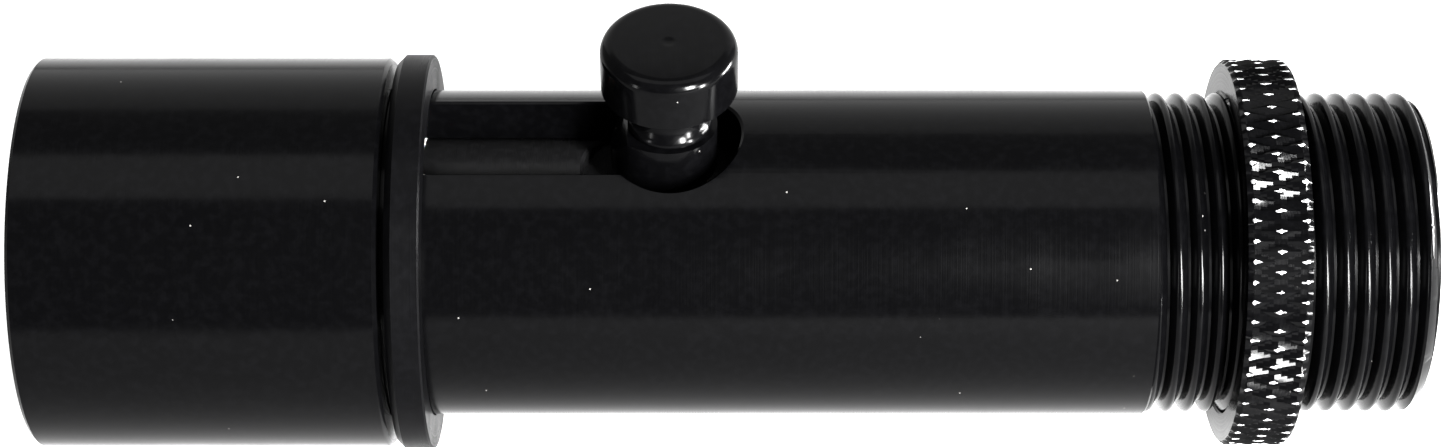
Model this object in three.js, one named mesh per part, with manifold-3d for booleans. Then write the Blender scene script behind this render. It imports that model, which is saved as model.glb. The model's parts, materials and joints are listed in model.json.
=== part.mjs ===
// A beam-expanding laser collimator, in millimetres, +Z up.
// The optical axis is X. The origin is the centre of the rear (threaded) end face, the front is at -X,
// and the focusing knob stands on top, at +Z.

import * as THREE from 'three';
import { mergeVertices } from 'three/addons/utils/BufferGeometryUtils.js';
import Module from 'manifold-3d';

const wasm = await Module();
wasm.setup();

// ---- driving dimensions ----

const BARREL_R = 16.25;
const BORE_R = 11.9;                // the draw tube slides in this bore
const CELL_R = 19.45;
const SHOULDER_R = 19.8;

const CELL_FRONT = -137.2;
const CELL_BACK = -102.0;
const SHOULDER_FRONT = -101.3;      // leaves a narrow groove behind the cell
const SHOULDER_BACK = -97.9;
const SPIGOT_FRONT = -118;          // front end of the barrel, inside the cell

const KNOB_X = -74.2;               // knob axis at rest, in the keyhole
const KEYHOLE_R = 6.95;
const SLOT_WIDTH = 10.3;

const PITCH = 2;                    // the rear thread is M32 x 2
const THREAD_LENGTH = 27;
const THREAD_CREST_R = 16;
const THREAD_ROOT_R = 14.9;
const THREAD_CLEARANCE = 0.25;

const REAR_SEAT_X = -30;            // shoulder in the rear bore, where the bore steps out
const REAR_STEP = 0.6;

const RING_LEFT = -19.2;
const RING_WIDTH = 6.2;
const RING_R = 19.4;

const DRAW_R = 11.6;
const DRAW_BORE_R = 8;
const DRAW_FRONT = -100.8;
const DRAW_BACK = -46;
const POCKET_R = 8.6;
const POCKET_FLOOR_Z = 9.6;

const SHOE_HALF_WIDTH = 4.6;
const SHOE_NOSE = 5.8;              // reach of the nose from the knob axis, towards the slot
const SHOE_BOTTOM_Z = 12.3;
const SHOE_TOP_Z = 17.3;
const NECK_R = 4.1;
const NECK_TOP_Z = 21.9;
const HEAD_R = 6.6;
const HEAD_TOP_Z = 27.5;
const HEAD_ROUND = 1.3;
const STUD_R = 2;                   // M4

const SEGMENTS = 32;                // facets round the outer pieces, and steps in one thread turn
const INNER_SEGMENTS = 24;          // facets round the hidden ones
const FIT = 0.15;                   // radial gap between pieces that screw or slide together
const FACE_GAP = 0.05;              // gap between pieces that bear on each other

// ---- materials ----

const metal = (color, roughness) => new THREE.MeshStandardMaterial({ color, roughness, metalness: 0.6 });
const glossBlack = () => metal(0x141415, 0.25);
const satinBlack = () => metal(0x2a2a2c, 0.6);
const mattBlack = () => metal(0x0c0c0c, 0.85);
const brass = () => metal(0xb08d45, 0.35);
const steel = () => metal(0xb9bbc0, 0.3);
const glass = () => new THREE.MeshStandardMaterial({ color: 0xdfe8f2, roughness: 0.02, metalness: 0 });
const whitePlastic = () => new THREE.MeshStandardMaterial({ color: 0xe9e6dc, roughness: 0.6, metalness: 0 });

// ---- solids ----

// Makes a manifold solid of a closed geometry, whichever way its triangles wind.
function solid(geometry) {
  const bare = geometry.index ? geometry.toNonIndexed() : geometry.clone();
  bare.deleteAttribute('normal');
  bare.deleteAttribute('uv');
  const merged = mergeVertices(bare, 1e-4);
  const points = merged.getAttribute('position').array;
  const kept = [];
  let volume = 0;
  for (let i = 0; i < merged.index.count; i += 3) {
    const corners = [0, 1, 2].map((k) => merged.index.getX(i + k));
    if (new Set(corners).size < 3) continue;
    kept.push(...corners);
    const [a, b, c] = corners.map((v) => new THREE.Vector3().fromArray(points, 3 * v));
    volume += a.dot(b.cross(c));
  }
  if (volume < 0) kept.reverse();
  const vertProperties = new Float32Array(points);
  const triVerts = new Uint32Array(kept);
  return new wasm.Manifold(new wasm.Mesh({ numProp: 3, vertProperties, triVerts }));
}

// Turns an outline of [along, radius] points about the X axis. An outline that doesn't start and end on
// the axis closes on itself.
function turned(outline, segments = SEGMENTS) {
  const points = outline.map(([along, radius]) => new THREE.Vector2(radius, along));
  const onAxis = outline[0][1] === 0 && outline.at(-1)[1] === 0;
  if (!onAxis) points.push(points[0].clone());
  return solid(new THREE.LatheGeometry(points, segments).rotateZ(-Math.PI / 2));
}

// The same about the vertical line through the knob.
function turnedUpright(outline, segments = SEGMENTS) {
  const points = outline.map(([height, radius]) => new THREE.Vector2(radius, height));
  const onAxis = outline[0][1] === 0 && outline.at(-1)[1] === 0;
  if (!onAxis) points.push(points[0].clone());
  return solid(new THREE.LatheGeometry(points, segments).rotateX(Math.PI / 2).translate(KNOB_X, 0, 0));
}

// An upright cylinder about the knob's axis.
const post = (bottom, top, radius) => (
  turnedUpright([[bottom, 0], [bottom, radius], [top, radius], [top, 0]])
);

const ring = (left, right, inner, outer, segments = INNER_SEGMENTS) => (
  turned([[left, inner], [left, outer], [right, outer], [right, inner]], segments)
);

const block = (low, high) => {
  const size = high.map((value, i) => value - low[i]);
  const centre = high.map((value, i) => (value + low[i]) / 2);
  return solid(new THREE.BoxGeometry(...size).translate(...centre));
};

// Points of an arc through the outline plane, for rounded edges and lens faces.
function arc(centreAlong, centreRadius, radius, fromDegrees, toDegrees, steps) {
  return Array.from({ length: steps + 1 }, (_, i) => {
    const angle = THREE.MathUtils.degToRad(fromDegrees + (toDegrees - fromDegrees) * i / steps);
    return [centreAlong + radius * Math.cos(angle), centreRadius + radius * Math.sin(angle)];
  });
}

// A spherical lens face from the axis out to the rim. Its vertex is at `along`, and a positive sag
// falls away towards +X.
function lensFace(along, sag, rim, steps = 4) {
  const curvature = (rim * rim + sag * sag) / (2 * sag);
  return Array.from({ length: steps + 1 }, (_, i) => {
    const radius = rim * i / steps;
    const drop = curvature - Math.sign(curvature) * Math.sqrt(curvature ** 2 - radius ** 2);
    return [along + drop, radius];
  });
}

// A lens between two faces that share a rim radius.
function lens(left, leftSag, right, rightSag, rim) {
  const outline = [...lensFace(left, leftSag, rim), ...lensFace(right, rightSag, rim).reverse()];
  return turned(outline, INNER_SEGMENTS);
}

// A helical ridge of trapezium section: a straight bar, wound round the X axis. Its phase depends only on
// the place along the axis, so every thread made here meshes with the others at rest. A clearance makes
// the ridge that cuts a matching internal thread.
function threadRidge(left, right, clearance = 0) {
  const crestHalf = PITCH * 0.07;
  const rootHalf = PITCH * 0.38;
  const buried = 0.25;
  const flank = (rootHalf - crestHalf) / (THREAD_CREST_R - THREAD_ROOT_R);
  const widen = clearance * (1 - flank);
  const root = THREAD_ROOT_R + clearance;
  const crest = THREAD_CREST_R + clearance;
  const section = new THREE.Shape([
    new THREE.Vector2(root - buried, -rootHalf - widen),
    new THREE.Vector2(root, -rootHalf - widen),
    new THREE.Vector2(crest, -crestHalf - widen),
    new THREE.Vector2(crest, crestHalf + widen),
    new THREE.Vector2(root, rootHalf + widen),
    new THREE.Vector2(root - buried, rootHalf + widen),
  ]);
  const steps = Math.round((right - left) / PITCH * SEGMENTS);
  const bar = new THREE.ExtrudeGeometry(section, { depth: right - left, steps, bevelEnabled: false });
  const at = bar.getAttribute('position');
  for (let i = 0; i < at.count; i += 1) {
    const radius = at.getX(i);
    const along = left + at.getZ(i);
    const angle = 2 * Math.PI * along / PITCH;
    at.setXYZ(i, along + at.getY(i), radius * Math.cos(angle), radius * Math.sin(angle));
  }
  return solid(bar);
}

// Makes a named node of a solid or a geometry.
function node(name, body, material) {
  const { vertProperties, triVerts } = body.getMesh();
  const geometry = new THREE.BufferGeometry();
  geometry.setAttribute('position', new THREE.BufferAttribute(vertProperties, 3));
  geometry.setIndex(new THREE.BufferAttribute(triVerts, 1));
  geometry.computeVertexNormals();
  const mesh = new THREE.Mesh(geometry, material);
  mesh.name = name;
  return mesh;
}

// Two opposite slots across a retaining ring's face, for a spanner.
function spannerSlots(face, depth, outer) {
  const half = 0.8;
  return block([face - depth, -outer - 1, -half], [face + depth, outer + 1, half]);
}

// ---- barrel ----

function barrel() {
  const chamfer = 1.2;
  const frontBevel = 0.6;
  const bodySections = [
    [SPIGOT_FRONT, BORE_R],
    [SPIGOT_FRONT, BARREL_R - frontBevel],
    [SPIGOT_FRONT + frontBevel, BARREL_R],
    [-THREAD_LENGTH, BARREL_R],
    [-THREAD_LENGTH, THREAD_ROOT_R],
    [0, THREAD_ROOT_R],
    [0, BORE_R + REAR_STEP],
    [REAR_SEAT_X, BORE_R + REAR_STEP],
    [REAR_SEAT_X, BORE_R],
  ];
  const envelope = turned([
    [SPIGOT_FRONT - 1, 0],
    [SPIGOT_FRONT - 1, BARREL_R + 1],
    [-chamfer, BARREL_R + 1],
    [-chamfer, THREAD_CREST_R],
    [0, THREAD_CREST_R - chamfer],
    [0, 0],
  ]);
  const ridge = threadRidge(-THREAD_LENGTH - 1, 1);
  return turned(bodySections).add(ridge).intersect(envelope).subtract(keyhole());
}

// The slot that the knob travels along, with the round hole at its rear end.
function keyhole() {
  const half = SLOT_WIDTH / 2;
  const above = BARREL_R + 2;
  const slot = block([SHOULDER_BACK - 1, -half, 0], [KNOB_X, half, above]);
  return slot.add(post(0, above, KEYHOLE_R));
}

function shoulderRing() {
  const frontBevel = 0.7;
  const backBevel = 0.15;
  const inner = BARREL_R + FIT;
  return turned([
    [SHOULDER_FRONT, inner],
    [SHOULDER_FRONT, SHOULDER_R - frontBevel],
    [SHOULDER_FRONT + frontBevel, SHOULDER_R],
    [SHOULDER_BACK - backBevel, SHOULDER_R],
    [SHOULDER_BACK, SHOULDER_R - backBevel],
    [SHOULDER_BACK, inner],
  ]);
}

// ---- objective, in the wide front cell ----

const LENS_R = 16.4;
const SEAT_X = -121;                // the doublet rests against this shoulder
const SEAT_R = 14.8;
const FLINT_EDGE = 2.95;
const CROWN_EDGE = 2.2;
const LENS_AIR_GAP = 0.9;           // between the two rims
const CROWN_FRONT_SAG = 2;
const INNER_SAG = 1;                // of the two faces that look at each other

const FLINT_RIGHT_RIM = SEAT_X - 0.15;    // its curved back bears on the seat's inner edge
const FLINT_LEFT_RIM = FLINT_RIGHT_RIM - FLINT_EDGE;
const CROWN_RIGHT_RIM = FLINT_LEFT_RIM - LENS_AIR_GAP;
const CROWN_LEFT_RIM = CROWN_RIGHT_RIM - CROWN_EDGE;

function objectiveCell() {
  const edge = 0.35;
  const mouthBevel = 0.9;
  const socketEnd = SPIGOT_FRONT - 0.3;
  return turned([
    [CELL_BACK - edge, CELL_R],
    [CELL_FRONT + edge, CELL_R],
    [CELL_FRONT, CELL_R - edge],
    [CELL_FRONT, LENS_R + FIT + mouthBevel],
    [CELL_FRONT + mouthBevel, LENS_R + FIT],
    [SEAT_X, LENS_R + FIT],
    [SEAT_X, SEAT_R],
    [socketEnd, SEAT_R],
    [socketEnd, BARREL_R + FIT],
    [CELL_BACK, BARREL_R + FIT],
    [CELL_BACK, CELL_R - edge],
  ]);
}

function flintLens() {
  const rearSag = 0.5;
  return lens(FLINT_LEFT_RIM + INNER_SAG, -INNER_SAG, FLINT_RIGHT_RIM + rearSag, -rearSag, LENS_R);
}

function crownLens() {
  const front = CROWN_LEFT_RIM - CROWN_FRONT_SAG;
  return lens(front, CROWN_FRONT_SAG, CROWN_RIGHT_RIM + INNER_SAG, -INNER_SAG, LENS_R);
}

// The spacer's front edge stands clear of the crown's curved back.
function objectiveSpacer() {
  const curveGap = 0.2;
  const wall = 1;
  return ring(CROWN_RIGHT_RIM + curveGap, FLINT_LEFT_RIM - FACE_GAP, LENS_R - wall, LENS_R);
}

function objectiveRetainingRing() {
  const length = 4;
  const wall = 0.9;
  const slotDepth = 1;
  const right = CROWN_LEFT_RIM - 0.3;
  const left = right - length;
  return ring(left, right, LENS_R - wall, LENS_R).subtract(spannerSlots(left, slotDepth, LENS_R));
}

function glareStop() {
  const aperture = 9;
  return ring(SPIGOT_FRONT - 1.7, SPIGOT_FRONT - 0.5, aperture, SEAT_R - FIT);
}

// ---- draw tube, with the input lens at its rear ----

const GLIDE_WIDTH = 1.6;
const FRONT_GLIDE_X = DRAW_FRONT + 0.6;
const REAR_GLIDE_X = DRAW_BACK - 4;
const GLIDE_GROOVE_R = DRAW_R - 0.7;
const BUSH_R = 3;
const INSERT_R = DRAW_BORE_R - FIT;

function drawTube() {
  const outside = DRAW_R + 1;
  const groove = (left) => ring(left - FIT, left + GLIDE_WIDTH + FIT, GLIDE_GROOVE_R, outside);
  return ring(DRAW_FRONT, DRAW_BACK, DRAW_BORE_R, DRAW_R, SEGMENTS)
    .subtract(groove(FRONT_GLIDE_X))
    .subtract(groove(REAR_GLIDE_X))
    .subtract(post(POCKET_FLOOR_Z, outside, POCKET_R))
    .subtract(post(0, outside, BUSH_R + FIT));
}

// A split ring, so that it can be sprung into its groove.
function glideRing(left) {
  const halfGap = 0.5;
  const proud = 0.2;
  const right = left + GLIDE_WIDTH;
  const split = block([left - 1, -halfGap, -DRAW_R - 1], [right + 1, halfGap, -GLIDE_GROOVE_R + 1]);
  return ring(left, right, GLIDE_GROOVE_R + FACE_GAP, DRAW_R + proud).subtract(split);
}

function drawTubeBaffle() {
  const aperture = 5;
  return ring(DRAW_FRONT + 1.2, DRAW_FRONT + 2.4, aperture, INSERT_R);
}

const INPUT_CELL_LEFT = DRAW_BACK - 10;
const INPUT_LENS_R = 5.5;
const INPUT_LENS_LIP = 0.9;         // how far the seat and the ring reach over the lens
const INPUT_LENS_EDGE = 2.35;
const INPUT_LENS_SAG = 0.6;
const INPUT_SEAT_X = INPUT_CELL_LEFT + 4;

function inputLensCell() {
  const seatBore = INPUT_LENS_R - INPUT_LENS_LIP;
  return turned([
    [INPUT_CELL_LEFT, seatBore],
    [INPUT_CELL_LEFT, INSERT_R],
    [DRAW_BACK, INSERT_R],
    [DRAW_BACK, INPUT_LENS_R + FIT],
    [INPUT_SEAT_X, INPUT_LENS_R + FIT],
    [INPUT_SEAT_X, seatBore],
  ], INNER_SEGMENTS);
}

function inputLens() {
  const left = INPUT_SEAT_X + FACE_GAP;
  const right = left + INPUT_LENS_EDGE;
  return lens(left + INPUT_LENS_SAG, -INPUT_LENS_SAG, right - INPUT_LENS_SAG, INPUT_LENS_SAG, INPUT_LENS_R);
}

function inputLensRetainingRing() {
  const slotDepth = 0.8;
  const left = INPUT_SEAT_X + INPUT_LENS_EDGE + 2 * FACE_GAP;
  const right = left + 2;
  return ring(left, right, INPUT_LENS_R - INPUT_LENS_LIP, INPUT_LENS_R)
    .subtract(spannerSlots(right, slotDepth, INPUT_LENS_R));
}

// ---- focusing knob ----

const BUSH_TOP_Z = SHOE_BOTTOM_Z - FACE_GAP;
const STUD_TOP_Z = 23.5;

// Shouldered bush: its spigot fills the hole in the draw tube, and its pillar carries the shoe.
function studBush() {
  const pillarR = 3.6;
  const bottom = DRAW_BORE_R + 0.3;
  const pocketFloor = POCKET_FLOOR_Z + FACE_GAP;
  return turnedUpright([
    [bottom, STUD_R + FIT],
    [bottom, BUSH_R],
    [pocketFloor, BUSH_R],
    [pocketFloor, pillarR],
    [BUSH_TOP_Z, pillarR],
    [BUSH_TOP_Z, STUD_R + FIT],
  ], SEGMENTS / 2);
}

function knobStud() {
  const bevel = 0.3;
  const bottom = DRAW_BORE_R + 0.5;
  return turnedUpright([
    [bottom, 0],
    [bottom, STUD_R],
    [STUD_TOP_Z - bevel, STUD_R],
    [STUD_TOP_Z, STUD_R - bevel],
    [STUD_TOP_Z, 0],
  ], SEGMENTS / 2);
}

// Round behind the knob, drawn out to a nose in front, which a ramp cuts down to lead it into the slot.
function guideShoe() {
  const plan = new THREE.Shape();
  plan.absellipse(0, 0, SHOE_HALF_WIDTH, SHOE_HALF_WIDTH, -Math.PI / 2, Math.PI / 2, false);
  plan.absellipse(0, 0, SHOE_NOSE, SHOE_HALF_WIDTH, Math.PI / 2, Math.PI * 3 / 2, false);
  const body = new THREE.ExtrudeGeometry(plan, {
    depth: SHOE_TOP_Z - SHOE_BOTTOM_Z,
    bevelEnabled: false,
    curveSegments: SEGMENTS / 4,
  }).translate(KNOB_X, 0, SHOE_BOTTOM_Z);
  const bore = post(0, SHOE_TOP_Z + 1, STUD_R + FIT);
  return solid(body).subtract(bore).subtract(shoeRamp());
}

function shoeRamp() {
  const rampTop = NECK_R;
  const drop = 2.6;
  const above = SHOE_TOP_Z + 1.5;
  const ramp = new THREE.Shape([
    new THREE.Vector2(-rampTop + 1, above),
    new THREE.Vector2(-rampTop, SHOE_TOP_Z),
    new THREE.Vector2(-SHOE_NOSE, SHOE_TOP_Z - drop),
    new THREE.Vector2(-SHOE_NOSE - 1, SHOE_TOP_Z - drop),
    new THREE.Vector2(-SHOE_NOSE - 1, above),
  ]);
  const depth = 2 * SHOE_HALF_WIDTH + 2;
  const wedge = new THREE.ExtrudeGeometry(ramp, { depth, bevelEnabled: false });
  return solid(wedge.rotateX(Math.PI / 2).translate(KNOB_X, depth / 2, 0));
}

function thumbKnob() {
  const boreTop = STUD_TOP_Z + 0.5;
  const bottom = SHOE_TOP_Z + FACE_GAP;
  const edge = 0.25;
  return turnedUpright([
    [boreTop, 0],
    [boreTop, STUD_R + FIT],
    [bottom, STUD_R + FIT],
    [bottom, NECK_R],
    [NECK_TOP_Z, NECK_R],
    [NECK_TOP_Z, HEAD_R - edge],
    [NECK_TOP_Z + edge, HEAD_R],
    ...arc(HEAD_TOP_Z - HEAD_ROUND, HEAD_R - HEAD_ROUND, HEAD_ROUND, 90, 0, 4),
    [HEAD_TOP_Z, 0],
  ]);
}

// ---- lock ring on the rear thread ----

const BRAKE_WIDTH = 1.2;
const BRAKE_LEFT = RING_LEFT + (RING_WIDTH - BRAKE_WIDTH) / 2;
const BRAKE_INNER_R = THREAD_CREST_R + 0.2;
const BRAKE_OUTER_R = 17.2;

// The lead-in at each face is wider than the thread, so that the faces are plain rings.
function lockRing() {
  const bevel = 0.45;
  const right = RING_LEFT + RING_WIDTH;
  const inner = THREAD_ROOT_R + THREAD_CLEARANCE;
  const mouth = THREAD_CREST_R + THREAD_CLEARANCE + 0.1;
  const leadIn = mouth - inner;
  const blank = turned([
    [RING_LEFT + leadIn, inner],
    [RING_LEFT, mouth],
    [RING_LEFT, RING_R - bevel],
    [RING_LEFT + bevel, RING_R],
    [right - bevel, RING_R],
    [right, RING_R - bevel],
    [right, mouth],
    [right - leadIn, inner],
  ]);
  const room = 0.3;
  const grooveRight = BRAKE_LEFT + BRAKE_WIDTH + room;
  const groove = ring(BRAKE_LEFT - room, grooveRight, inner - 1, BRAKE_OUTER_R + room);
  const thread = threadRidge(RING_LEFT - PITCH, right + PITCH, THREAD_CLEARANCE);
  return blank.subtract(thread).subtract(groove);
}

function threadBrake() {
  return ring(BRAKE_LEFT, BRAKE_LEFT + BRAKE_WIDTH, BRAKE_INNER_R, BRAKE_OUTER_R);
}

// ---- rear bore ----

const REAR_INSERT_R = BORE_R + REAR_STEP - FIT;
const STOP_THICKNESS = 1.4;

function entranceStop() {
  const aperture = 3.5;
  const left = REAR_SEAT_X + FACE_GAP;
  return ring(left, left + STOP_THICKNESS, aperture, REAR_INSERT_R);
}

function rearRetainingRing() {
  const length = 3;
  const wall = 1.9;
  const slotDepth = 1;
  const left = REAR_SEAT_X + STOP_THICKNESS + 2 * FACE_GAP;
  const right = left + length;
  return ring(left, right, REAR_INSERT_R - wall, REAR_INSERT_R)
    .subtract(spannerSlots(right, slotDepth, REAR_INSERT_R));
}

// ---- assembly ----

const collimator = new THREE.Group();
collimator.add(
  node('main_barrel', barrel(), glossBlack()),
  node('shoulder_ring', shoulderRing(), satinBlack()),
  node('objective_cell', objectiveCell(), glossBlack()),
  node('objective_crown_lens', crownLens(), glass()),
  node('objective_spacer', objectiveSpacer(), mattBlack()),
  node('objective_flint_lens', flintLens(), glass()),
  node('objective_retaining_ring', objectiveRetainingRing(), mattBlack()),
  node('glare_stop', glareStop(), mattBlack()),
  node('draw_tube', drawTube(), satinBlack()),
  node('draw_tube_baffle', drawTubeBaffle(), mattBlack()),
  node('front_glide_ring', glideRing(FRONT_GLIDE_X), whitePlastic()),
  node('rear_glide_ring', glideRing(REAR_GLIDE_X), whitePlastic()),
  node('input_lens_cell', inputLensCell(), mattBlack()),
  node('input_lens', inputLens(), glass()),
  node('input_lens_retaining_ring', inputLensRetainingRing(), mattBlack()),
  node('stud_bush', studBush(), brass()),
  node('knob_stud', knobStud(), steel()),
  node('guide_shoe', guideShoe(), glossBlack()),
  node('thumb_knob', thumbKnob(), glossBlack()),
  node('lock_ring', lockRing(), glossBlack()),
  node('thread_brake', threadBrake(), whitePlastic()),
  node('entrance_stop', entranceStop(), mattBlack()),
  node('rear_retaining_ring', rearRetainingRing(), mattBlack()),
);

export default collimator;
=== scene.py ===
"""Looks of a laser collimator: turned black metal parts, optical glass and small trim around the frame.

Lengths are in millimetres until a mesh is made, and in metres after that. The optical axis is X with
the front at -X, the thumb knob stands up along Z, and the rear threaded end face is at x = 0.
"""
import json
import math

import bmesh
import bpy
import numpy as np
from mathutils import Matrix, Vector

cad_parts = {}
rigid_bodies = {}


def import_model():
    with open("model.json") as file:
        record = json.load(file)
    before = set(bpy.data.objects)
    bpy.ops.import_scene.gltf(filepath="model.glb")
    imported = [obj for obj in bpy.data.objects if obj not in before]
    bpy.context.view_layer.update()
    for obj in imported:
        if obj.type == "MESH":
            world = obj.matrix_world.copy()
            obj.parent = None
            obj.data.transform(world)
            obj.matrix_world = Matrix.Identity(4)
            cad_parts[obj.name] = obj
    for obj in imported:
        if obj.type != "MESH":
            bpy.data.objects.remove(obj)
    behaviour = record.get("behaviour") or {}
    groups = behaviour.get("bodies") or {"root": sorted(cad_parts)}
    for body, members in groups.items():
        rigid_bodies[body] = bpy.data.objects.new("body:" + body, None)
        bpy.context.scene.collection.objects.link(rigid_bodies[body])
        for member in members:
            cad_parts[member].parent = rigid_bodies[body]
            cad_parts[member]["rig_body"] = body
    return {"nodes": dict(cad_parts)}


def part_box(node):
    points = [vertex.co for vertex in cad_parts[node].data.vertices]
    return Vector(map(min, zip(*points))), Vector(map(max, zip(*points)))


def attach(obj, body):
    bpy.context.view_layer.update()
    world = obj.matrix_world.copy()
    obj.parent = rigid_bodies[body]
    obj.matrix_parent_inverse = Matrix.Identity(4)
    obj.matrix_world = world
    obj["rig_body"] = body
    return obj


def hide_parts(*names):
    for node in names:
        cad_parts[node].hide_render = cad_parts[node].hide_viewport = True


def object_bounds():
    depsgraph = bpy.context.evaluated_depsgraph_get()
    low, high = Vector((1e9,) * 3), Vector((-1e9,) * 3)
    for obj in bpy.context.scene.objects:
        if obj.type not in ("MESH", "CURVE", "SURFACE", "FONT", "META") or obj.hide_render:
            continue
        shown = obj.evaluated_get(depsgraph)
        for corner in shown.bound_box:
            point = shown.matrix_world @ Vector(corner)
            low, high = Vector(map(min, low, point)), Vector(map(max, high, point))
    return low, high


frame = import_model()
cad_low, cad_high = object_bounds()

MM = 0.001
SEGMENTS = 192
KNURL_STEPS = 8


# ---------------------------------------------------------------- sizes read from the frame

def span(node):
    """(lowest x, highest x, outer radius) in mm of a node that is round about the optical axis."""
    low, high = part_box(node)
    return low.x / MM, high.x / MM, high.y / MM


def heights(node):
    """(lowest z, highest z, half width) in mm of a node that is round about the knob's axis."""
    low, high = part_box(node)
    return low.z / MM, high.z / MM, (high.y - low.y) / 2 / MM


BARREL_FRONT, BARREL_REAR, BARREL_R = span("main_barrel")
CELL_FRONT, CELL_REAR, CELL_R = span("objective_cell")
FLANGE_LEFT, FLANGE_RIGHT, FLANGE_R = span("shoulder_ring")
RING_LEFT, RING_RIGHT, RING_R = span("lock_ring")
TUBE_LEFT, TUBE_RIGHT, TUBE_R = span("draw_tube")
STUD_LOW, STUD_HIGH, STUD_R = heights("knob_stud")
KNOB_LOW, KNOB_HIGH, KNOB_R = heights("thumb_knob")
SHOE_LOW, SHOE_HIGH, SHOE_R = heights("guide_shoe")
KNOB_X = (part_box("knob_stud")[0].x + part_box("knob_stud")[1].x) / 2 / MM

BORE_R = 11.9
REAR_BORE_R = 12.5
REAR_BORE_LEFT = -30.0
SLOT_HALF_WIDTH = 5.15
SLOT_LEFT = FLANGE_RIGHT - 1.0
KEYHOLE_R = 6.95
POCKET_R = 8.6
POCKET_FLOOR = 9.6

THREAD_LEFT = -27.0
THREAD_PITCH = 2.0
THREAD_ROOT_R = 14.9
THREAD_CREST_R = 16.0
THREAD_CLEARANCE = 0.25
CREST_HALF_WIDTH = 0.25
FLANK = math.tan(math.radians(30))


# ---------------------------------------------------------------- materials

class Look:
    """A Principled material and the node tree its detail is built in."""

    def __init__(self, name, colour, roughness, **sockets):
        self.material = bpy.data.materials.new(name)
        self.material.use_nodes = True
        self.nodes = self.material.node_tree.nodes
        self.links = self.material.node_tree.links
        self.shader = self.nodes["Principled BSDF"]
        self.shader.inputs["Base Color"].default_value = (*colour, 1)
        self.shader.inputs["Roughness"].default_value = roughness
        for socket, value in sockets.items():
            self.shader.inputs[socket.replace("_", " ")].default_value = value
        self.point = self.nodes.new("ShaderNodeTexCoord").outputs["Object"]
        self.bump = None

    def node(self, kind, settings=None, inputs=None):
        """A new node with its settings and its inputs, each a value or another node's output."""
        made = self.nodes.new("ShaderNode" + kind)
        for key, value in (settings or {}).items():
            setattr(made, key, value)
        for key, value in (inputs or {}).items():
            if isinstance(value, bpy.types.NodeSocket):
                self.links.new(value, made.inputs[key])
            else:
                made.inputs[key].default_value = value
        return made

    def math(self, operation, first, second=0.0):
        return self.node("Math", {"operation": operation}, {0: first, 1: second}).outputs[0]

    def noise(self, size, detail=3.0, vector=None):
        """Soft noise from 0 to 1 whose features are about size metres across."""
        inputs = {"Vector": vector or self.point, "Scale": 1 / size, "Detail": detail}
        return self.node("TexNoise", None, inputs).outputs["Fac"]

    def ranged(self, value, low, high, to_low, to_high):
        """The value's stretch from low to high, brought to to_low and to_high and held there."""
        inputs = {0: value, 1: low, 2: high, 3: to_low, 4: to_high}
        return self.node("MapRange", {"clamp": True}, inputs).outputs[0]

    def turning(self, axis, size):
        """Fine lines from 0 to 1 that run round the axis, on faces along it and across it alike."""
        split = self.node("SeparateXYZ", None, {0: self.point}).outputs
        along = split[axis]
        across = [split[other] for other in "XYZ" if other != axis]
        squares = [self.math("MULTIPLY", value, value) for value in across]
        radius = self.math("SQRT", self.math("ADD", *squares))
        place = self.math("ADD", along, self.math("MULTIPLY", radius, 0.62))
        return self.node("TexNoise", {"noise_dimensions": "1D"},
                         {"W": place, "Scale": 1 / size, "Detail": 4.0}).outputs["Fac"]

    def colour(self, factor, first, second):
        """Base colour that goes from the first to the second with the factor."""
        mix = self.node("Mix", {"data_type": "RGBA"}, {0: factor, 6: (*first, 1), 7: (*second, 1)})
        self.links.new(mix.outputs[2], self.shader.inputs["Base Color"])
        return mix.outputs[2]

    def mixed(self, factor, under, second):
        """Base colour that covers the colour under it with the second where the factor is high."""
        mix = self.node("Mix", {"data_type": "RGBA"}, {0: factor, 6: under, 7: (*second, 1)})
        self.links.new(mix.outputs[2], self.shader.inputs["Base Color"])

    def roughness(self, value):
        self.links.new(value, self.shader.inputs["Roughness"])

    def raised(self, height, distance, strength=1.0):
        """Adds a height of this many metres to the bump already there."""
        inputs = {"Height": height, "Distance": distance, "Strength": strength}
        if self.bump is not None:
            inputs["Normal"] = self.bump
        self.bump = self.node("Bump", None, inputs).outputs["Normal"]
        self.links.new(self.bump, self.shader.inputs["Normal"])

    def specks(self, spacing, size, share):
        """1 in small round specks, at most one in each cell of the spacing, in this share of the cells."""
        cells = self.node("TexVoronoi", None, {"Vector": self.point, "Scale": 1 / spacing})
        near = self.math("LESS_THAN", cells.outputs["Distance"], size / spacing)
        split = self.node("SeparateColor", None, {0: cells.outputs["Color"]}).outputs[0]
        return self.math("MULTIPLY", near, self.math("LESS_THAN", split, share))


def black_metal(name, axis, colour, roughness, lines, grain, dust, ior=1.1):
    """Black-anodised turned metal: fine lines round the axis, a grain in the oxide, handling marks and dust.

    lines and grain are heights in metres, and dust is the share of places that hold a speck."""
    look = Look(name, colour, roughness, IOR=ior)
    mottle = look.noise(0.006, 4.0)
    marks = look.turning(axis, 0.00012)
    fine = look.noise(0.00006, 2.0)
    blotches = look.ranged(mottle, 0.35, 0.7, roughness * 0.85, roughness * 1.2)
    streaks = look.ranged(marks, 0.3, 0.7, -0.04, 0.05)
    look.roughness(look.math("ADD", blotches, streaks))
    lighter = tuple(1.7 * part for part in colour)
    tone = look.colour(look.ranged(look.noise(0.0009, 5.0), 0.45, 0.75, 0.0, 1.0), colour, lighter)
    look.mixed(look.math("MULTIPLY", look.specks(0.0021, 0.00009, dust), 0.07), tone, (0.6, 0.58, 0.55))
    look.raised(marks, lines)
    look.raised(fine, grain)
    return look


def gloss_black(name, axis):
    return black_metal(name, axis, (0.0002, 0.0002, 0.00023), 0.15, lines=1e-6, grain=4e-7, dust=0.25)


def gloss_black_metal(axis):
    return gloss_black("gloss_black_metal_" + axis, axis).material


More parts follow.
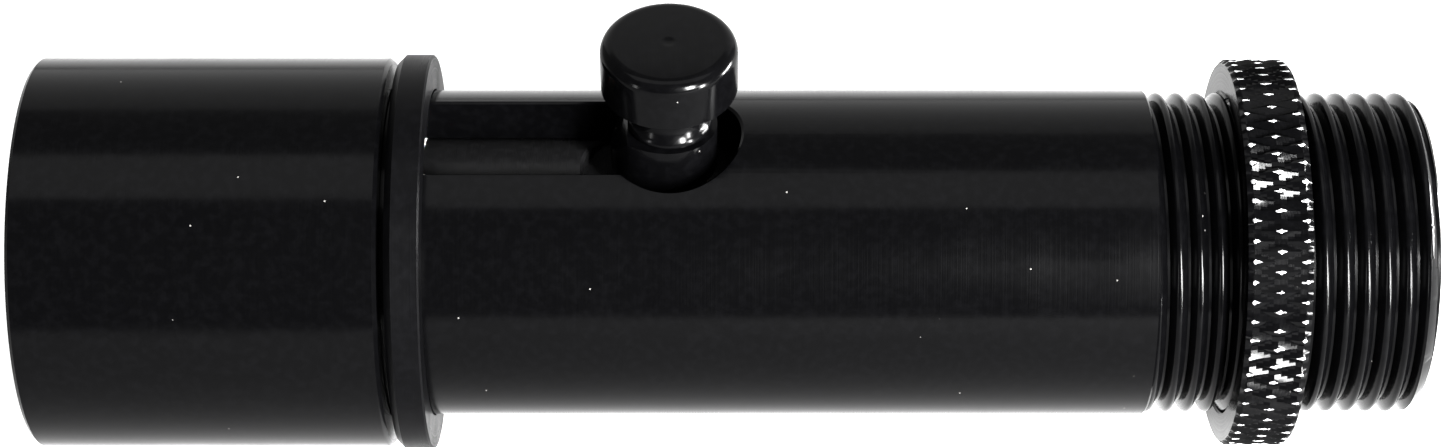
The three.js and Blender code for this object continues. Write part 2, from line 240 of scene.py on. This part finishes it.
def knurled_black_metal():
    """Gloss black with painted glints: near-white metallic colour on the points of the knurl stands in for
    the lights' glints there.
    """
    look = gloss_black("knurled_black_metal", "X")
    split = look.node("SeparateXYZ", None, {0: look.point}).outputs
    squares = [look.math("MULTIPLY", split[side], split[side]) for side in "YZ"]
    radius = look.math("SQRT", look.math("ADD", *squares))
    mottle = look.math("MULTIPLY", look.noise(0.0005, 3.0), 0.00016)
    point = RING_R * MM
    # painted glints: just above the ring's outer radius the knurl's points turn near-white and metallic,
    # their edge broken up by noise
    painted_glint = look.ranged(look.math("ADD", radius, mottle), point + 0.00001, point + 0.00003, 0.0, 1.0)
    black = look.shader.inputs["Base Color"].links[0].from_socket
    look.mixed(painted_glint, black, (0.8, 0.8, 0.81))
    look.links.new(painted_glint, look.shader.inputs["Metallic"])
    return look.material


def satin_black_metal():
    colour = (0.0003, 0.0003, 0.00035)
    look = black_metal("satin_black_metal", "X", colour, 0.34, lines=1.2e-6, grain=4e-6, dust=0.1, ior=1.075)
    return look.material


def rubbed_black_metal():
    """Satin black given a lighter dark grey colour and a stronger reflection, as painted light on the draw
    tube's top where it shows in the slot.
    """
    colour = (0.002, 0.002, 0.0021)
    look = black_metal("rubbed_black_metal", "X", colour, 0.3, lines=1.2e-6, grain=4e-6, dust=0.15, ior=1.15)
    return look.material


def matt_black_metal():
    colour = (0.007, 0.007, 0.007)
    return black_metal("matt_black_metal", "X", colour, 0.7, lines=3e-6, grain=9e-6, dust=0.05).material


def optical_glass():
    """Coated lens glass: an interference film tints what it reflects, with a trace of dust and wipe marks."""
    look = Look("optical_glass", (1, 1, 1), 0.0, IOR=1.52, Transmission_Weight=1.0,
                Thin_Film_Thickness=420.0, Thin_Film_IOR=1.38)
    wipes = look.node("Mapping", None, {"Vector": look.point, "Scale": (1, 6, 0.7)}).outputs[0]
    film = look.ranged(look.noise(0.004, 5.0, wipes), 0.5, 0.8, 0.004, 0.03)
    look.roughness(look.math("ADD", film, look.math("MULTIPLY", look.specks(0.0023, 0.00005, 0.3), 0.4)))
    look.raised(look.noise(0.004, 1.0), 2e-7)
    return look.material


def white_plastic():
    """Slippery white bearing plastic, a little cloudy, with machining lines and grey rubbed patches."""
    look = Look("white_plastic", (0.78, 0.77, 0.73), 0.45, Subsurface_Weight=0.15, Subsurface_Scale=0.001)
    rubbed = look.ranged(look.noise(0.0015, 4.0), 0.52, 0.72, 0.0, 0.6)
    look.colour(rubbed, (0.78, 0.77, 0.73), (0.42, 0.41, 0.39))
    look.roughness(look.ranged(look.noise(0.0004), 0.3, 0.7, 0.38, 0.55))
    look.raised(look.turning("X", 0.0001), 3e-6)
    return look.material


def brass():
    """Turned brass, a little tarnished between its lines."""
    look = Look("brass", (0.72, 0.49, 0.18), 0.3, Metallic=1.0)
    lines = look.turning("Z", 0.00009)
    tarnish = look.ranged(look.noise(0.0012, 5.0), 0.4, 0.7, 0.0, 1.0)
    look.colour(tarnish, (0.74, 0.51, 0.2), (0.38, 0.22, 0.08))
    look.roughness(look.ranged(lines, 0.3, 0.7, 0.24, 0.42))
    look.raised(lines, 2e-6)
    return look.material


def bright_steel():
    """Bright turned steel with a film of oil and grey wear."""
    look = Look("bright_steel", (0.55, 0.55, 0.56), 0.25, Metallic=1.0)
    lines = look.turning("Z", 0.00008)
    mottle = look.ranged(look.noise(0.0011, 5.0), 0.45, 0.7, 0.0, 1.0)
    look.colour(mottle, (0.58, 0.58, 0.59), (0.3, 0.29, 0.28))
    look.roughness(look.ranged(lines, 0.3, 0.7, 0.18, 0.36))
    look.raised(lines, 2e-6)
    return look.material


MATERIALS = {
    ("gloss_black_metal", "X"): gloss_black_metal("X"),
    ("gloss_black_metal", "Z"): gloss_black_metal("Z"),
    # knurled: gloss black with painted glints on the knurl's points
    ("gloss_black_metal", "knurled"): knurled_black_metal(),
    ("satin_black_metal", "X"): satin_black_metal(),
    # the draw tube's satin black, painted lighter as painted light on its top in the slot
    ("satin_black_metal", "rubbed"): rubbed_black_metal(),
    ("matt_black_metal", "X"): matt_black_metal(),
    ("optical_glass", "X"): optical_glass(),
    ("white_plastic", "X"): white_plastic(),
    ("brass", "Z"): brass(),
    ("bright_steel", "Z"): bright_steel(),
}


# ---------------------------------------------------------------- shapes

def arc(centre, radius, start, end, steps):
    """Points (along, radius) on an arc, with its angles in degrees."""
    angles = np.radians(np.linspace(start, end, steps + 1))
    return [(centre[0] + radius * math.cos(a), centre[1] + radius * math.sin(a)) for a in angles]


def mesh_object(name, points, faces):
    """A mesh object in mm, its faces turned to look outwards."""
    mesh = bpy.data.meshes.new(name)
    mesh.from_pydata([tuple(map(float, point)) for point in points], [], faces)
    work = bmesh.new()
    work.from_mesh(mesh)
    bmesh.ops.remove_doubles(work, verts=work.verts, dist=1e-5)
    bmesh.ops.recalc_face_normals(work, faces=work.faces)
    work.to_mesh(mesh)
    work.free()
    made = bpy.data.objects.new(name, mesh)
    bpy.context.scene.collection.objects.link(made)
    return made


def spun(name, rows, axis="X", centre=0.0, segments=SEGMENTS):
    """A closed outline of (along, radius) rows turned round the X axis, or round a Z axis at x = centre.

    A row's radius is a number, or one number for each segment."""
    turns = np.linspace(0, 2 * math.pi, segments, endpoint=False)
    points, ids = [], []
    for along, radius in rows:
        radii = np.broadcast_to(radius, segments)
        first = len(points)
        if np.max(radii) < 1e-9:
            points.append((along, 0, 0) if axis == "X" else (centre, 0, along))
            ids.append([first] * segments)
            continue
        for turn, r in zip(turns, radii):
            across, up = r * math.cos(turn), r * math.sin(turn)
            points.append((along, across, up) if axis == "X" else (centre + across, up, along))
        ids.append(list(range(first, first + segments)))
    faces = []
    for row, following in zip(ids, ids[1:] + ids[:1]):
        for k in range(segments):
            n = (k + 1) % segments
            corners = list(dict.fromkeys([row[k], row[n], following[n], following[k]]))
            if len(corners) > 2:
                faces.append(corners)
    return mesh_object(name, points, faces)


def column(name, rings):
    """A closed solid between rings of points that lie one above the other, all with as many points."""
    count = len(rings[0])
    points = [point for ring in rings for point in ring]
    faces = []
    for level in range(len(rings) - 1):
        low, high = level * count, (level + 1) * count
        for k in range(count):
            n = (k + 1) % count
            faces.append((low + k, low + n, high + n))
            faces.append((low + k, high + n, high + k))
    faces.append(tuple(range(count)))
    faces.append(tuple(range((len(rings) - 1) * count, len(rings) * count)))
    return mesh_object(name, points, faces)


def wound_bar(name, section, start, end, steps=96):
    """A bar with a section of (along, radius) points, wound round the X axis as a right-handed thread."""
    count = int((end - start) / THREAD_PITCH * steps)
    points = []
    for k in range(count + 1):
        x = start + THREAD_PITCH * k / steps
        turn = 2 * math.pi * x / THREAD_PITCH
        points += [(x + along, r * math.cos(turn), r * math.sin(turn)) for along, r in section]
    size = len(section)
    faces = [tuple(range(size)), tuple(range(count * size, (count + 1) * size))]
    for k in range(count):
        for s in range(size):
            n = (s + 1) % size
            faces.append((k * size + s, k * size + n, (k + 1) * size + n, (k + 1) * size + s))
    return mesh_object(name, points, faces)


def triangulated(mesh):
    """Splits a mesh's faces into triangles, which a boolean takes without fault."""
    work = bmesh.new()
    work.from_mesh(mesh)
    bmesh.ops.triangulate(work, faces=work.faces)
    work.to_mesh(mesh)
    work.free()


def combined(piece, other, operation):
    """The piece after a boolean with the other solid, which is used up."""
    triangulated(other.data)
    change = piece.modifiers.new("combined", "BOOLEAN")
    change.operation = operation
    change.solver = "EXACT"
    change.object = other
    bpy.context.view_layer.update()
    result = bpy.data.meshes.new_from_object(piece.evaluated_get(bpy.context.evaluated_depsgraph_get()))
    piece.modifiers.clear()
    piece.data = result
    bpy.data.objects.remove(other)
    return piece


def on_cylinder(outline, radius, lift):
    """The outline's (x, y) points on a cylinder about the optical axis, lifted by this many mm."""
    return [(x, y, math.sqrt(max(radius * radius - y * y, 0)) + lift) for x, y in outline]


def chamfered_cutter(outline, radius, floor, chamfer):
    """A cutter down through a cylinder's top: outline(grow) gives the opening's points, grow mm wider."""
    over = 0.3
    return column("cutter", [
        [(x, y, floor) for x, y in outline(0)],
        on_cylinder(outline(0), radius, -chamfer),
        on_cylinder(outline(chamfer + over), radius, over),
        [(x, y, radius + 3) for x, y in outline(chamfer + over)],
    ])


def block(name, low, high):
    """A square block between two corners."""
    corners = [[(low[0], low[1]), (high[0], low[1]), (high[0], high[1]), (low[0], high[1])]] * 2
    return column(name, [[(x, y, z) for x, y in ring] for ring, z in zip(corners, (low[2], high[2]))])


def finished(piece, slot, look="X", round_faces=(), sharp=40):
    """Shades the piece smooth between its sharp edges and puts it in the place of the CAD node that it is
    named after.

    look is the axis it was turned about, or the name of its surface where that is a special one.
    round_faces are radii in mm of the cylinders about the optical axis whose faces get exactly radial
    normals."""
    node = piece.name.removesuffix("_detailed")
    mesh = piece.data
    mesh.materials.clear()
    mesh.materials.append(MATERIALS[slot, look])
    mesh.transform(Matrix.Scale(MM, 4))
    mesh.shade_smooth()
    mesh.set_sharp_from_angle(angle=math.radians(sharp))
    if round_faces:
        radial_normals(mesh, round_faces)
    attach(piece, frame["nodes"][node]["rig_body"])
    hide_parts(node)
    return piece


def radial_normals(mesh, radii):
    """Sets exactly radial normals on the faces that lie on a cylinder about the optical axis."""
    normals = [(0, 0, 0)] * len(mesh.loops)
    for face in mesh.polygons:
        places = [mesh.vertices[v].co for v in face.vertices]
        distances = [math.hypot(place.y, place.z) for place in places]
        if abs(face.normal.x) > 0.02:
            continue
        if not any(all(abs(d - r * MM) < 2e-6 for d in distances) for r in radii):
            continue
        outward = face.normal.y * face.center.y + face.normal.z * face.center.z > 0
        for loop, place in zip(face.loop_indices, places):
            radial = Vector((0, place.y, place.z)).normalized()
            normals[loop] = tuple(radial if outward else -radial)
    mesh.normals_split_custom_set(normals)


def spanner_slots(piece, face_x, depth, width, outer):
    """Two slots across a ring's face, at +Y and -Y, for a pin spanner."""
    slots = block("slot", (face_x - depth, -outer - 1, -width / 2), (face_x + depth, outer + 1, width / 2))
    return combined(piece, slots, "DIFFERENCE")


# ---------------------------------------------------------------- outer metalwork

def keyhole(grow):
    """The slot along the barrel's top with the round entry hole at its rear end, wider by grow."""
    half, radius = SLOT_HALF_WIDTH + grow, KEYHOLE_R + grow
    meets = 180 - math.degrees(math.asin(half / radius))
    left = SLOT_LEFT - grow
    end = [(left, y) for y in np.linspace(half, -half, 9)]
    return arc((KNOB_X, 0), radius, -meets, meets, 120) + end


def pocket(grow):
    """The round pocket about the knob's axis."""
    return arc((KNOB_X, 0), POCKET_R + grow, 0, 360, 160)[:-1]


def thread_section(clearance=0.0):
    """A thread ridge's section, with a rounded crest and its foot buried below the root."""
    foot = THREAD_ROOT_R - 0.1
    half = CREST_HALF_WIDTH + clearance
    drops = ((-0.22, 0), (-0.1, 0.03), (0, 0.09), (0.1, 0.173))
    side = [(half + out, THREAD_CREST_R - drop) for out, drop in drops]
    side.append((half + (THREAD_CREST_R - foot) * FLANK, foot))
    return [(-along, radius) for along, radius in reversed(side)] + side


def main_barrel():
    """The outer tube: plain front, keyhole slot on top, external thread and wider bore at the rear."""
    shoulder = 0.22
    bevel = 0.3
    tube = spun("main_barrel_detailed", [
        (BARREL_FRONT, BORE_R), (BARREL_FRONT, BARREL_R - 0.6), (BARREL_FRONT + 0.6, BARREL_R),
        (THREAD_LEFT - shoulder, BARREL_R), (THREAD_LEFT, BARREL_R - shoulder), (THREAD_LEFT, THREAD_ROOT_R),
        (BARREL_REAR - 0.12, THREAD_ROOT_R), (BARREL_REAR, THREAD_ROOT_R - 0.12),
        (BARREL_REAR, REAR_BORE_R + bevel), (BARREL_REAR - bevel, REAR_BORE_R),
        (REAR_BORE_LEFT, REAR_BORE_R), (REAR_BORE_LEFT, BORE_R)])
    ridge = wound_bar("ridge", thread_section(), THREAD_LEFT - 1, BARREL_REAR + 1.6)
    ridge_end, lip = BARREL_REAR - 0.14, THREAD_ROOT_R + 0.04
    envelope = spun("envelope", [
        (THREAD_LEFT - 4, 12), (THREAD_LEFT - 4, 18), (ridge_end - (18 - lip), 18),
        (ridge_end, lip), (ridge_end, 12)])
    combined(tube, combined(ridge, envelope, "INTERSECT"), "UNION")
    combined(tube, chamfered_cutter(keyhole, BARREL_R, 5, 0.25), "DIFFERENCE")
    finished(tube, "gloss_black_metal", round_faces=(BARREL_R, BORE_R, REAR_BORE_R))


def shoulder_ring():
    """The plain flange pressed on behind the objective cell."""
    bore = BARREL_R + 0.15
    finished(spun("shoulder_ring_detailed", [
        (FLANGE_LEFT, bore), (FLANGE_LEFT, FLANGE_R - 0.7), (FLANGE_LEFT + 0.7, FLANGE_R),
        (FLANGE_RIGHT - 0.18, FLANGE_R), (FLANGE_RIGHT, FLANGE_R - 0.18), (FLANGE_RIGHT, bore)]),
        "satin_black_metal")


def objective_cell():
    """The front housing, with a fine thread in its mouth for the lens retaining ring."""
    edge, mouth_bevel = 0.35, 0.9
    pocket_r, seat_r, socket_r = 16.55, 14.8, BARREL_R + 0.15
    seat_x, socket_x, thread_end = -121.0, -118.3, -127.6
    pitch, depth = 0.5, 0.13
    first = CELL_FRONT + mouth_bevel + 0.3
    thread = []
    for k in range(int((thread_end - first) / pitch)):
        left = first + k * pitch
        thread += [(left, pocket_r), (left + pitch / 2, pocket_r + depth)]
    inside = [(CELL_FRONT + mouth_bevel, pocket_r), *thread, (thread_end, pocket_r),
              (seat_x, pocket_r), (seat_x, seat_r), (socket_x, seat_r), (socket_x, socket_r),
              (CELL_REAR - edge, socket_r), (CELL_REAR, socket_r + edge)]
    outside = [(CELL_REAR, CELL_R - edge), (CELL_REAR - edge, CELL_R), (CELL_FRONT + edge, CELL_R),
               (CELL_FRONT, CELL_R - edge), (CELL_FRONT, pocket_r + mouth_bevel)]
    finished(spun("objective_cell_detailed", inside + outside), "gloss_black_metal")


def knurled_rows(teeth, left, right, radius, depth, slant_pitch):
    """Rows of a diamond knurl's band: two crossing sets of grooves, with the diamonds' points cut flat."""
    turns = np.arange(teeth * KNURL_STEPS) / KNURL_STEPS
    middle, step = (left + right) / 2, slant_pitch / KNURL_STEPS
    reach = int((right - left) / 2 / step)
    places = [left, *(middle + k * step for k in range(-reach, reach + 1)), right]
    rows = []
    for x in places:
        slant = (x - middle) / slant_pitch
        up, down = (np.abs((turns + side * slant) % 1 - 0.5) * 2 for side in (1, -1))
        height = np.minimum(1, np.minimum(1 - up, 1 - down) / 0.9)
        rows.append((x, radius - depth * (1 - height)))
    return rows


def lock_ring():
    """The knurled ring on the rear thread, with the groove for its brake."""
    teeth, bevel, depth, slant_pitch = 62, 0.45, 0.5, 5.0
    root, groove_r, groove = THREAD_CREST_R + THREAD_CLEARANCE, 17.5, (-17.0, -15.2)
    ring = spun("lock_ring_detailed", [
        (RING_LEFT, root), (RING_LEFT, RING_R - bevel),
        *knurled_rows(teeth, RING_LEFT + bevel, RING_RIGHT - bevel, RING_R, depth, slant_pitch),
        (RING_RIGHT, RING_R - bevel), (RING_RIGHT, root),
        (groove[1], root), (groove[1], groove_r), (groove[0], groove_r), (groove[0], root)],
        segments=teeth * KNURL_STEPS)
    crest, foot = THREAD_ROOT_R + THREAD_CLEARANCE, root + 0.25
    half = THREAD_PITCH / 2 - CREST_HALF_WIDTH - 0.12
    narrow, wide = half - (THREAD_CREST_R - crest) * FLANK, half + (foot - THREAD_CREST_R) * FLANK
    section = [(along + THREAD_PITCH / 2, radius) for along, radius in
               ((-wide, foot), (-narrow, crest), (narrow, crest), (wide, foot))]
    inset, deep, low = 0.05, foot + 0.1, 14
    for face, edge, side in ((RING_LEFT, groove[0], 1), (RING_RIGHT, groove[1], -1)):
        mouth = face + side * inset
        ridge = wound_bar("ridge", section, RING_LEFT - 4, RING_RIGHT + 2)
        sleeve = spun("sleeve", [
            (mouth, deep), (mouth, root), (mouth + side * (root - low), low),
            (edge - side * inset, low), (edge - side * inset, deep)])
        combined(ring, combined(ridge, sleeve, "INTERSECT"), "UNION")
    finished(ring, "gloss_black_metal", "knurled", sharp=20)


def draw_tube():
    """The inner sliding tube, with grooves for its glide rings and the pocket the shoe drops through."""
    bore, bevel, groove_r = 8.0, 0.3, 10.9
    grooves = []
    for node in ("front_glide_ring", "rear_glide_ring"):
        left, right, _ = span(node)
        grooves += [(left - 0.05, TUBE_R), (left - 0.05, groove_r)]
        grooves += [(right + 0.05, groove_r), (right + 0.05, TUBE_R)]
    tube = spun("draw_tube_detailed", [
        (TUBE_LEFT, bore), (TUBE_LEFT, TUBE_R - bevel), (TUBE_LEFT + bevel, TUBE_R), *grooves,
        (TUBE_RIGHT - bevel, TUBE_R), (TUBE_RIGHT, TUBE_R - bevel), (TUBE_RIGHT, bore)])
    combined(tube, chamfered_cutter(pocket, TUBE_R, POCKET_FLOOR, 0.28), "DIFFERENCE")
    bush = heights("stud_bush")
    hole = spun("hole", [(0, 0), (0, 3.15), (bush[1] + 1, 3.15), (bush[1] + 1, 0)], "Z", KNOB_X, 64)
    combined(tube, hole, "DIFFERENCE")
    # satin black painted lighter: painted light on the tube's top where it shows in the slot
    finished(tube, "satin_black_metal", "rubbed", round_faces=(TUBE_R, bore, groove_r))


# ---------------------------------------------------------------- thumb knob, shoe and stud

def thumb_knob():
    """The plain round knob: a head with a rounded top, a waisted neck, and a blind bore for the stud."""
    neck_r, head_low, round_r, bore, bore_top = 4.1, 21.9, 1.3, 2.15, 24.0
    top = arc((KNOB_HIGH - round_r, KNOB_R - round_r), round_r, 90, 0, 12)
    fillet = arc((head_low - 0.35, neck_r + 0.35), 0.35, 270, 360, 5)
    waist_r, curve = 3.4, 2.6
    opening = math.degrees(math.acos((waist_r + curve - neck_r) / curve))
    waist = arc(((KNOB_LOW + head_low) / 2, waist_r + curve), curve, 270 - opening, 270 + opening, 12)
    finished(spun("thumb_knob_detailed", [
        (bore_top, 0), (bore_top, bore), (KNOB_LOW + 0.3, bore), (KNOB_LOW, bore + 0.3),
        (KNOB_LOW, neck_r - 0.15), (KNOB_LOW + 0.15, neck_r), *waist, *fillet,
        (head_low, KNOB_R - 0.3), (head_low + 0.3, KNOB_R), *top,
        (KNOB_HIGH - 0.02, 0.9), (KNOB_HIGH - 0.02, 0.5), (KNOB_HIGH - 0.12, 0)], "Z", KNOB_X),
        "gloss_black_metal", "Z")


def guide_shoe():
    """The foot under the knob: round at the back, drawn out to a rounded nose with a ramp, and bored for
    the stud."""
    reach = 5.8
    nose = KNOB_X - reach
    turns = np.radians(np.linspace(0, 360, 96, endpoint=False))
    outline = [(KNOB_X + (SHOE_R if math.cos(turn) > 0 else reach) * math.cos(turn), SHOE_R * math.sin(turn))
               for turn in turns]
    shoe = column("guide_shoe_detailed", [[(x, y, z) for x, y in outline] for z in (SHOE_LOW, SHOE_HIGH)])
    run, drop, wide = 1.7, 2.6, SHOE_R + 1
    above = SHOE_HIGH + drop
    section = [(nose - run, SHOE_HIGH - 2 * drop), (nose + 2 * run, above), (nose - run, above)]
    ramp = column("ramp", [[(x, y, z) for x, z in section] for y in (-wide, wide)])
    combined(shoe, ramp, "DIFFERENCE")
    hole = spun("hole", [(SHOE_LOW - 1, 0), (SHOE_LOW - 1, 2.3), (SHOE_HIGH + 1, 2.3), (SHOE_HIGH + 1, 0)],
                "Z", KNOB_X, 64)
    combined(shoe, hole, "DIFFERENCE")
    rounding = shoe.modifiers.new("rounding", "BEVEL")
    rounding.width = 0.38
    rounding.segments = 3
    rounding.limit_method = "ANGLE"
    rounding.angle_limit = math.radians(30)
    bpy.context.view_layer.update()
    shoe.data = bpy.data.meshes.new_from_object(shoe.evaluated_get(bpy.context.evaluated_depsgraph_get()))
    shoe.modifiers.clear()
    finished(shoe, "gloss_black_metal", "Z", sharp=45)


def knob_stud():
    """The stud that carries the knob, screwed into the bush, with a chamfer at each end."""
    chamfer = 0.35
    finished(spun("knob_stud_detailed", [
        (STUD_LOW, 0), (STUD_LOW, STUD_R - chamfer), (STUD_LOW + chamfer, STUD_R),
        (STUD_HIGH - chamfer, STUD_R), (STUD_HIGH, STUD_R - chamfer), (STUD_HIGH, 0)], "Z", KNOB_X, 64),
        "bright_steel", "Z")


def stud_bush():
    """The flanged bush in the draw tube's wall that takes the stud."""
    low, high, flange_r = heights("stud_bush")
    flange_low, sleeve_r, bore, edge = 9.65, 3.0, 2.15, 0.2
    finished(spun("stud_bush_detailed", [
        (low, bore + edge), (low, sleeve_r - edge), (low + edge, sleeve_r), (flange_low, sleeve_r),
        (flange_low, flange_r), (high - edge, flange_r), (high, flange_r - edge), (high, bore + edge),
        (high - edge, bore), (low + edge, bore)], "Z", KNOB_X, 96), "brass", "Z")


# ---------------------------------------------------------------- lenses, rings, stops and glides

def lens_face(rim_x, vertex_x, radius, steps=24):
    """Points on a spherical lens face from its rim to the axis."""
    sag = vertex_x - rim_x
    sphere = (radius ** 2 + sag ** 2) / (2 * abs(sag))
    heights_out = np.linspace(radius, 0, steps + 1)
    return [(vertex_x - math.copysign(sphere - math.sqrt(sphere ** 2 - h * h), sag), h) for h in heights_out]


def lens(node, left_rim, left_vertex, right_rim, right_vertex):
    """A lens with a small ground bevel at each rim."""
    radius, bevel = span(node)[2], 0.15
    left = lens_face(left_rim, left_vertex, radius - bevel)
    right = lens_face(right_rim, right_vertex, radius - bevel)
    edge = [(right[0][0] - bevel, radius), (left[0][0] + bevel, radius)]
    finished(spun(node + "_detailed", [*reversed(right), *edge, *left]), "optical_glass", sharp=30)


def ring(node, bore, slot="matt_black_metal", edge=0.12, slotted=None):
    """A plain ring with small edge chamfers, and spanner slots in its left or right face if it has them."""
    left, right, radius = span(node)
    made = spun(node + "_detailed", [
        (left, bore + edge), (left, radius - edge), (left + edge, radius), (right - edge, radius),
        (right, radius - edge), (right, bore + edge), (right - edge, bore), (left + edge, bore)])
    if slotted is not None:
        spanner_slots(made, left if slotted == "left" else right, 1.0, 1.6, radius)
    return finished(made, slot, round_faces=(radius, bore))


def stop(node, aperture):
    """A disc with a hole whose rim is turned down to a thin edge, so that it throws no glare."""
    left, right, radius = span(node)
    lip, slope = 0.15, 1.4
    finished(spun(node + "_detailed", [
        (left, radius), (left, aperture + slope),
        (right - lip, aperture), (right, aperture), (right, radius)]),
        "matt_black_metal")


def glide_ring(node):
    """A split plastic ring that the draw tube slides on, its gap at the bottom."""
    left, right, radius = span(node)
    bore, edge, gap = 10.95, 0.1, 0.5
    made = spun(node + "_detailed", [
        (left, bore), (left, radius - edge), (left + edge, radius), (right - edge, radius),
        (right, radius - edge), (right, bore)])
    combined(made, block("gap", (left - 1, -gap, -radius - 1), (right + 1, gap, 0)), "DIFFERENCE")
    finished(made, "white_plastic", round_faces=(radius, bore))


def input_lens_cell():
    """The short holder of the small diverging lens, at the draw tube's rear end."""
    left, right, radius = span("input_lens_cell")
    seat_bore, lens_bore, seat_x, edge = 4.6, 5.65, -52.0, 0.3
    finished(spun("input_lens_cell_detailed", [
        (left, seat_bore + 1), (left, radius - edge), (left + edge, radius), (right - edge, radius),
        (right, radius - edge), (right, lens_bore + edge), (right - edge, lens_bore),
        (seat_x, lens_bore), (seat_x, seat_bore), (left + 1, seat_bore)]), "matt_black_metal")


# ---------------------------------------------------------------- the studio

def softbox(name, direction, size, radiance):
    """A rectangular area light half a metre from the object, this bright per unit of its area."""
    distance = 0.5
    centre = Vector(((cad_low.x + cad_high.x) / 2, 0, 0.01))
    light = bpy.data.lights.new(name, "AREA")
    light.shape = "RECTANGLE"
    light.size, light.size_y = size
    light.energy = radiance * math.pi * size[0] * size[1]
    lamp = bpy.data.objects.new(name, light)
    towards = Vector(direction).normalized()
    lamp.location = centre + towards * distance
    lamp.rotation_euler = towards.to_track_quat("Z", "Y").to_euler()
    bpy.context.scene.collection.objects.link(lamp)


def floor(height):
    """A pale floor that glows softly round the object and fades a little further out."""
    look = Look("studio_floor", (0.12, 0.12, 0.12), 0.9)
    distance = look.node("VectorMath", {"operation": "LENGTH"}, {0: look.point}).outputs["Value"]
    near, far, bright, dim = 0.2, 0.9, 1.0, 0.45
    glow = look.ranged(distance, near, far, bright, dim)
    look.shader.inputs["Emission Color"].default_value = (1, 1, 1, 1)
    look.links.new(glow, look.shader.inputs["Emission Strength"])
    mesh = bpy.data.meshes.new("studio_floor")
    reach = 4
    corners = [(-reach, -reach, 0), (reach, -reach, 0), (reach, reach, 0), (-reach, reach, 0)]
    mesh.from_pydata(corners, [], [(0, 1, 2, 3)])
    mesh.materials.append(look.material)
    made = bpy.data.objects.new("studio_floor", mesh)
    made.location = ((cad_low.x + cad_high.x) / 2, 0, height)
    bpy.context.scene.collection.objects.link(made)


def surroundings():
    """A dim room, darker to the front than to the back."""
    world = bpy.data.worlds.new("room")
    world.use_nodes = True
    nodes, links = world.node_tree.nodes, world.node_tree.links
    place = nodes.new("ShaderNodeTexCoord").outputs["Generated"]
    split = nodes.new("ShaderNodeSeparateXYZ")
    links.new(place, split.inputs[0])
    ramp = nodes.new("ShaderNodeMapRange")
    front_to_back, strengths = (-0.8, 0.8), (0.28, 0.9)
    for index, value in enumerate((*front_to_back, *strengths), start=1):
        ramp.inputs[index].default_value = value
    links.new(split.outputs["Y"], ramp.inputs[0])
    links.new(ramp.outputs[0], nodes["Background"].inputs["Strength"])
    nodes["Background"].inputs["Color"].default_value = (1, 1, 1, 1)
    bpy.context.scene.world = world


def camera():
    """The camera: level with the tube along X, looking down on it from the front side."""
    elevation, distance = math.radians(43), 0.335
    back = Vector((0, -math.cos(elevation), math.sin(elevation)))
    up = Vector((0, math.sin(elevation), math.cos(elevation)))
    target = Vector(((cad_low.x + cad_high.x) / 2 - 0.0005, 0, 0)) + up * 0.00286
    data = bpy.data.cameras.new("camera")
    data.lens = 83.04
    data.clip_start, data.clip_end = 0.01, 20
    made = bpy.data.objects.new("camera", data)
    place = target + back * distance
    made.matrix_world = Matrix(((1, up.x, back.x, place.x), (0, up.y, back.y, place.y),
                                (0, up.z, back.z, place.z), (0, 0, 0, 1)))
    bpy.context.scene.collection.objects.link(made)
    bpy.context.scene.camera = made


def lights():
    """A long softbox overhead, a window and a tall key on the right of the front, a low wide box behind,
    and low strips at both sides and off the rear end."""
    softbox("overhead", (0, -0.045, 1), size=(0.7, 0.245), radiance=4.4)
    softbox("window", (0.42, -0.84, 0.36), size=(0.27, 0.28), radiance=3.5)
    softbox("key", (0.5, -0.75, 0.42), size=(0.1, 0.2), radiance=900)
    softbox("right_strip", (0.75, -0.6, 0.14), size=(0.06, 0.17), radiance=800)
    softbox("left_strip", (-0.75, -0.6, 0.14), size=(0.05, 0.17), radiance=50)
    softbox("back", (0, 0.92, 0.38), size=(0.9, 0.42), radiance=1.6)
    softbox("end_light", (0.95, 0.18, 0.04), size=(0.2, 0.07), radiance=700)


# ---------------------------------------------------------------- everything in its place

main_barrel()
shoulder_ring()
objective_cell()
lock_ring()
draw_tube()
thumb_knob()
guide_shoe()
knob_stud()
stud_bush()
lens("objective_flint_lens", left_rim=-124.10, left_vertex=-123.10, right_rim=-121.15, right_vertex=-120.65)
lens("objective_crown_lens", left_rim=-127.20, left_vertex=-129.20, right_rim=-125.00, right_vertex=-124.00)
lens("input_lens", left_rim=-51.95, left_vertex=-51.35, right_rim=-49.6, right_vertex=-50.2)
ring("objective_spacer", bore=15.4)
ring("objective_retaining_ring", bore=15.5, slotted="left")
ring("input_lens_retaining_ring", bore=4.6)
ring("rear_retaining_ring", bore=10.45, slotted="right")
ring("thread_brake", bore=16.2, slot="white_plastic")
stop("glare_stop", aperture=9.0)
stop("draw_tube_baffle", aperture=5.0)
stop("entrance_stop", aperture=3.5)
glide_ring("front_glide_ring")
glide_ring("rear_glide_ring")
input_lens_cell()

camera()
surroundings()
floor(cad_low.z)
lights()

bpy.context.scene.view_settings.view_transform = "Standard"
